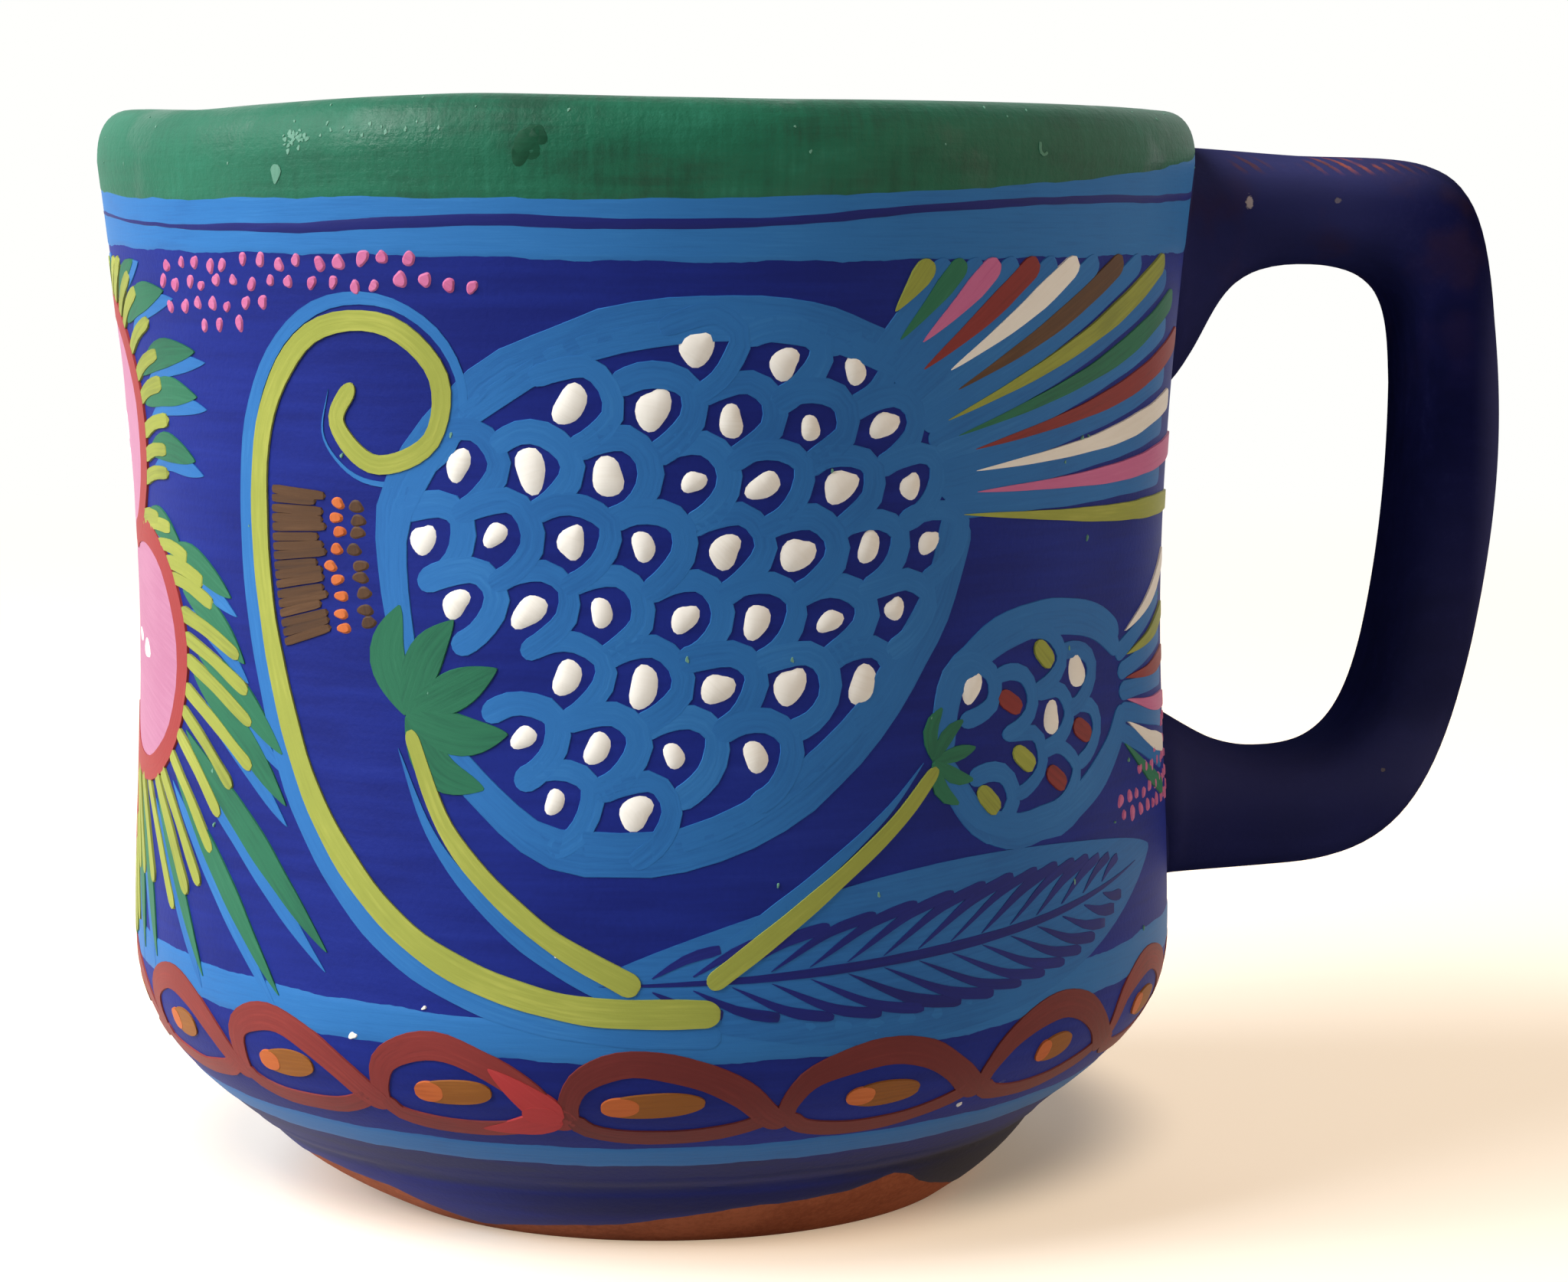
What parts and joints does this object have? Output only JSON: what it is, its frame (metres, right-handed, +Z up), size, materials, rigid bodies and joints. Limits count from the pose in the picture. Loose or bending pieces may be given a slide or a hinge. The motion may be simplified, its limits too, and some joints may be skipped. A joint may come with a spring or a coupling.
{
  "type": "mug",
  "caption": "Waisted clay mug with a rolled lip, a small turned foot and a luted strap handle, painted outside and glazed inside, for hot or cold drinks.",
  "frame": {"origin": "centre of the foot's flat base, on the cup's axis", "axes": "+Z up along the cup's axis, +X towards the handle"},
  "size_m": [0.1182, 0.09, 0.088],
  "materials": {
    "painted_clay": "satin",
    "painted_handle": "satin",
    "painted_slip": "matte",
    "clear_glaze": "gloss"
  },
  "bodies": {
    "root": {"thrown_cup": "painted_clay", "glaze_lining": "clear_glaze", "strap_handle": "painted_handle", "upper_slip_joint": "painted_slip", "lower_slip_joint": "painted_slip"}
  },
  "joints": []
}
